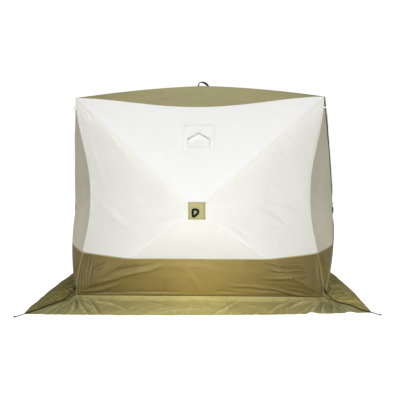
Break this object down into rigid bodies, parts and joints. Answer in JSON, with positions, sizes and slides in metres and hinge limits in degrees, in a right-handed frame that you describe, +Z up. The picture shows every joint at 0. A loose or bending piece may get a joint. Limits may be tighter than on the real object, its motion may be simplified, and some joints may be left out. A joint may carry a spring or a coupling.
{
  "type": "pop-up ice fishing shelter",
  "caption": "Square pop-up cloth ice fishing shelter with pushed-out hubs, flexed rods, olive roof and band, vent and snow skirt.",
  "frame": {"origin": "centre of the base on the ground", "axes": "+Z up, front wall with the vent faces -Y, +X to the right seen from the front"},
  "size_m": [2.8964, 2.9645, 2.1363],
  "materials": {
    "white_cloth": "quilted woven polyester, matt",
    "olive_cloth": "coated woven polyester, slight sheen",
    "skirt_cloth": "thin coated cloth, creased",
    "patch_cloth": "heavy woven reinforcement",
    "mesh_cloth": "fine grey mesh",
    "zip_tape": "black woven zip tape",
    "black_webbing": "black webbing",
    "black_rope": "black braided cord",
    "glass_fibre": "smooth black glass-fibre rod",
    "moulded_hub": "moulded black nylon",
    "rubber_boot": "matt black rubber"
  },
  "bodies": {
    "root": {"back_base_band": "olive_cloth", "back_left_panel": "white_cloth", "back_lower_panel": "white_cloth", "back_right_panel": "white_cloth", "back_rods": "glass_fibre", "back_skirt": "skirt_cloth", "back_upper_panel": "white_cloth", "base_corner_boots": "rubber_boot", "corner_tabs": "black_webbing", "entrance_flap": "olive_cloth", "entrance_zip": "zip_tape", "front_base_band": "olive_cloth", "front_hub_patch": "patch_cloth", "front_left_panel": "white_cloth", "front_lower_panel": "white_cloth", "front_pull_loop": "black_webbing", "front_right_panel": "white_cloth", "front_rods": "glass_fibre", "front_skirt": "skirt_cloth", "front_upper_panel": "white_cloth", "hub_fittings": "moulded_hub", "left_base_band": "olive_cloth", "left_front_panel": "white_cloth", "left_lower_panel": "white_cloth", "left_rear_panel": "white_cloth", "left_rods": "glass_fibre", "left_rope": "black_rope", "left_skirt": "skirt_cloth", "left_upper_panel": "white_cloth", "right_base_band": "olive_cloth", "right_front_panel": "white_cloth", "right_lower_panel": "olive_cloth", "right_rear_panel": "white_cloth", "right_rods": "glass_fibre", "right_rope": "black_rope", "right_skirt": "skirt_cloth", "right_upper_panel": "olive_cloth", "roof_back_panel": "olive_cloth", "roof_front_panel": "olive_cloth", "roof_hub_patch": "patch_cloth", "roof_left_panel": "olive_cloth", "roof_pull_loop": "black_webbing", "roof_right_panel": "olive_cloth", "roof_rods": "glass_fibre", "rope_knots": "black_rope", "side_hub_patches": "patch_cloth", "side_pull_loops": "black_webbing", "top_corner_boots": "rubber_boot", "top_corner_tabs": "white_cloth", "vent_hood": "white_cloth", "vent_mesh": "mesh_cloth", "vent_patch": "white_cloth"}
  },
  "joints": []
}
